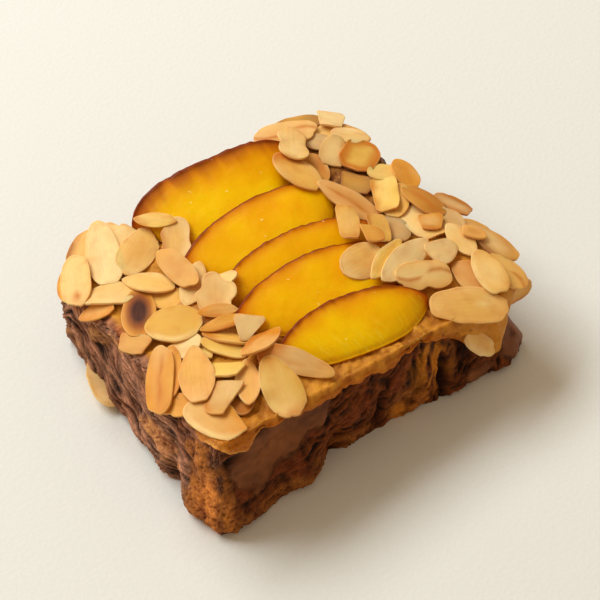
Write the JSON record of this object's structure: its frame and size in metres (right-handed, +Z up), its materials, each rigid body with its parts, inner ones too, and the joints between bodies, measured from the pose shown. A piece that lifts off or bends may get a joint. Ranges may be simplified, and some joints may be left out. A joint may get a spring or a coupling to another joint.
{
  "type": "bostock",
  "caption": "Thick square slice of brioche baked with almond cream, overlapping peach slices across the top and flaked almonds heaped along both ends.",
  "frame": {"origin": "Bottom centre of the overall box, on the plane the slice rests on.", "axes": "+X along the long front side from the tall corner to the low one, +Y across the slice towards the back, +Z up."},
  "size_m": [0.1202, 0.0986, 0.0398],
  "materials": {
    "brioche_crust": "rough browned crust",
    "almond_topping": "baked, slightly glossy",
    "peach_flesh": "wet"
  },
  "bodies": {
    "root": {"bread": "brioche_crust", "almond_cream": "almond_topping", "peach_slice_1": "peach_flesh", "peach_slice_2": "peach_flesh", "peach_slice_3": "peach_flesh", "peach_slice_4": "peach_flesh", "peach_slice_5": "peach_flesh"}
  },
  "joints": []
}
